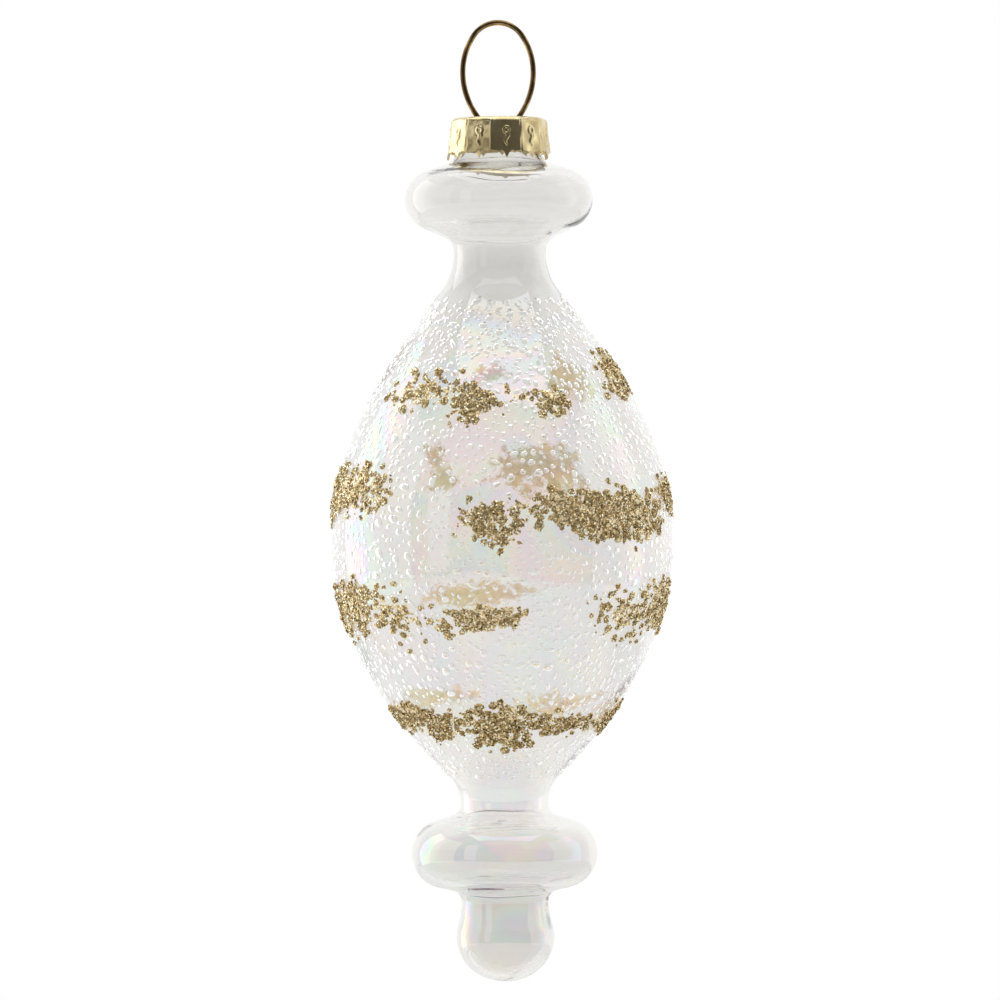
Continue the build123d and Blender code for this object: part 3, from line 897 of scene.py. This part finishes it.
def cap_shell(lift):
    """Points of the cap's wall, by row from the flat top to the lower edge, moved outward by lift."""
    count = FACETS * COLUMNS
    phi = FACET_TURN - PITCH / 2 + np.arange(count) * 2 * pi / count
    facet = np.arange(count) // COLUMNS
    turn = phi - (FACET_TURN + facet * PITCH)
    u = turn / (PITCH / 2)
    lean = 0.035 * np.sin(facet * 2.7 + 1.1)
    edge = skirt_edge(u, facet)
    rows = []                 # height, how far in from the skirt, and how faceted from 0 to 1
    for t in np.arange(SHOULDER_ROWS) / SHOULDER_ROWS:
        a = t * pi / 2
        height = np.full(count, CAP_TOP_Z - CAP_SHOULDER_R * (1 - cos(a)))
        rows.append((height, CAP_SHOULDER_R * (1 - sin(a)), sin(a)))
    for t in np.linspace(0, 1, SKIRT_ROWS):
        rows.append((CAP_TOP_Z - CAP_SHOULDER_R + (edge - CAP_TOP_Z + CAP_SHOULDER_R) * t, 0.0, 1.0))
    points = []
    for z, inset, flatness in rows:
        down = (CAP_TOP_Z - z) / CAP_DEPTH
        apothem = CAP_APOTHEM + CAP_SPREAD * down
        flat = apothem / np.cos(turn) * (1 + lean * np.tan(turn))
        radius = flat * flatness + apothem * 1.01 * (1 - flatness) - inset
        crease = np.exp(-(((np.abs(u) - 1) * 2.05 / 0.16) ** 2))
        radius = radius - CREASE * crease * flatness
        x = turn * apothem
        if lift >= 0:
            relief = np.exp(-((motif_distance(x, z - CAP_TOP_Z) / MOTIF_WIDTH) ** 2)) * (inset == 0.0)
            radius = radius + MOTIF_RELIEF * relief
            radius = radius + 0.05 * np.sin(x * 2.3 + facet * 1.3) * np.sin((z + facet) * 1.9)
        flare = np.clip((down - 0.72) / 0.2, 0, 1) ** 2
        radius = radius + 0.12 * flare * np.abs(np.sin(u * 4 + facet))
        radius = radius + lift * flatness
        level = z + lift * (1 - flatness)
        points.append(np.stack([radius * np.sin(phi), -radius * np.cos(phi), level], -1))
    return np.array(points)


def from_holes(point):
    """Distance from the middle of the nearer hole."""
    return min((point - Vector((side * HOLE_X, 0))).length for side in (-1, 1))


def plate(rim, z, wave):
    """The flat top inside the rim with the two holes: points, triangles, and how many points the rim has.

    The rim's points come first and the two holes' after them.
    """
    outer = [Vector((p[0], p[1])) for p in rim]
    holes = []
    for side in (-1, 1):
        t = np.arange(HOLE_SIDES) * 2 * pi / HOLE_SIDES
        holes.append([Vector((side * HOLE_X + HOLE_R * cos(a), HOLE_R * sin(a))) for a in t])
    inner = []
    for r in (1.0, 2.2, 3.4, 4.6):
        for i in range(int(r * 9)):
            a = 2 * pi * i / int(r * 9) + r
            p = Vector((r * cos(a), r * sin(a)))
            if from_holes(p) > HOLE_R + 0.2:
                inner.append(p)
    loops = [outer, *holes]
    flat = [p for loop in loops for p in loop]
    edges, start = [], 0
    for loop in loops:
        edges += [(start + i, start + (i + 1) % len(loop)) for i in range(len(loop))]
        start += len(loop)
    points, _, faces, *_ = delaunay_2d_cdt(flat + inner, edges, [], 0, 1e-6)
    keep = []
    for face in faces:
        middle = sum((points[i] for i in face), Vector((0, 0))) / len(face)
        if from_holes(middle) > HOLE_R * 0.98:
            keep.append(face)
    xy = np.array(points)
    r = np.hypot(xy[:, 0], xy[:, 1])
    sag = wave * np.sin(xy[:, 0] * 1.1 + 0.4) * np.cos(xy[:, 1] * 0.9) * np.clip((5.2 - r) / 1.5, 0, 1)
    return np.column_stack([xy, z + sag]), np.array(keep), len(outer)


PLATE_WAVE = 0.05


def cap():
    g = Gather()
    count = FACETS * COLUMNS
    outer, inner = cap_shell(0.0), cap_shell(-CAP_SHEET)
    rows = len(outer)
    g.add(outer, grid_faces(rows, count, flip=True))
    g.add(inner, grid_faces(rows, count))
    edge = np.array([outer[-1], inner[-1]])
    g.add(edge, grid_faces(2, count, flip=True), smooth=False)
    top, faces, rim = plate(outer[0], CAP_TOP_Z, PLATE_WAVE)
    under, _, _ = plate(outer[0], CAP_TOP_Z - CAP_SHEET, PLATE_WAVE)
    g.add(top, faces)
    g.add(under, faces[:, ::-1])
    for hole in range(2):
        ring = rim + hole * HOLE_SIDES + np.arange(HOLE_SIDES)
        g.add(np.array([top[ring], under[ring]]), grid_faces(2, HOLE_SIDES))
    return g.object("pressed_cap", [CAP_GOLD])


# ---------------------------------------------------------------- hanging wire

WIRE_R = 0.4
WIRE_SIDES = 20
LOOP_CROWN_R, LOOP_SHOULDER_R, LOOP_FLANK_R = 4.2, 9.5, 11.0
LEG_LEAN = 34.5               # degrees from vertical where a leg goes through the cap
LEG_PAST_SHEET = 0.3          # a leg runs straight this far below the cap's underside
FOOT_BEND_R, FOOT_END_X = 1.0, 4.5


def wire_line():
    """Centreline of the loop and its feet, in the plane of X and Z, and the direction at each point."""
    path = Outline(0, WIRE_R, 90, step=0.25)
    path.bend(LOOP_CROWN_R, LEG_LEAN)
    path.bend(LOOP_SHOULDER_R, 0)
    path.bend(LOOP_FLANK_R, -LEG_LEAN)
    path.run((path.rows[-1][1] - CAP_TOP_Z + CAP_SHEET + LEG_PAST_SHEET) / cos(radians(LEG_LEAN)))
    path.bend(-FOOT_BEND_R, 90)
    path.run(FOOT_END_X - path.rows[-1][0])
    _, x, z, heading = path.table()
    dx, dz = np.sin(heading), -np.cos(heading)
    line = np.concatenate([np.stack([-x, z], -1)[::-1], np.stack([x, z], -1)[1:]])
    way = np.concatenate([np.stack([dx, -dz], -1)[::-1], np.stack([dx, dz], -1)[1:]])
    return line, way


def wire():
    """One round wire that sways a little out of its plane above the cap and is not quite even."""
    line, way = wire_line()
    n = len(line)
    sway = 0.09 * np.sin(np.linspace(0, 9, n)) * np.clip((line[:, 1] + 12) / 6, 0, 1)
    middle = np.stack([line[:, 0], sway, line[:, 1]], -1)
    across = np.stack([way[:, 1], np.zeros(n), -way[:, 0]], -1)
    theta = np.arange(WIRE_SIDES) * 2 * pi / WIRE_SIDES
    thick = WIRE_R * (1 - 0.02 * np.sin(np.linspace(0, 60, n)))
    # The cut ends are drawn in a little.
    ends = np.minimum(np.arange(n), np.arange(n)[::-1])
    thick = thick * np.where(ends == 0, 0.8, 1)
    beside = across[:, None] * np.cos(theta)[None, :, None]
    ring = beside + np.array([0, 1, 0]) * np.sin(theta)[None, :, None]
    points = middle[:, None] + thick[:, None, None] * ring
    g = Gather()
    g.add(points, grid_faces(n, WIRE_SIDES))
    g.add(points[0], np.arange(WIRE_SIDES)[None, :], smooth=False)
    g.add(points[-1], np.arange(WIRE_SIDES)[None, ::-1], smooth=False)
    return g.object("hanging_wire", [WIRE_GOLD])


# ---------------------------------------------------------------- floor

FLOOR_Z, FLOOR_R = -330.0, 900


def pale_floor():
    """A plain pale floor well below the ornament, which hangs."""
    rings, sides = np.linspace(0.02, FLOOR_R, 12), 64
    t = np.arange(sides) * 2 * pi / sides
    points = np.array([[(r * cos(a), r * sin(a), FLOOR_Z) for a in t] for r in rings])
    material, n, shader = new_material("pale_floor")
    tones = [(0.3, (0.60, 0.60, 0.595)), (0.7, (0.63, 0.63, 0.625))]
    n.link(n.ramp(n.noise(3, 2), tones), shader.inputs["Base Color"])
    shader.inputs["Roughness"].default_value = 0.9
    g = Gather()
    g.add(points, grid_faces(len(rings), sides))
    made = g.object("floor", [material])


pale_floor()

# ---------------------------------------------------------------- build and hand over

GLASS_NODES = [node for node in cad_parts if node.startswith("glass_")]
made = blown_glass()
let_light_through(made)
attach(made, "glass")
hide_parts(*GLASS_NODES)
for key, patch in enumerate(PATCHES):
    made = glitter_patch(patch, key + 0.5)
    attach(made, "glass")
    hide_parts(patch)
for made in clear_drops():
    let_light_through(made)
    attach(made, "glass")
    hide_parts("clear_drops")
made = cap()
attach(made, "cap")
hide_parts("hanger_cap")
made = wire()
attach(made, "hanger")
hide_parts("hanger_wire")
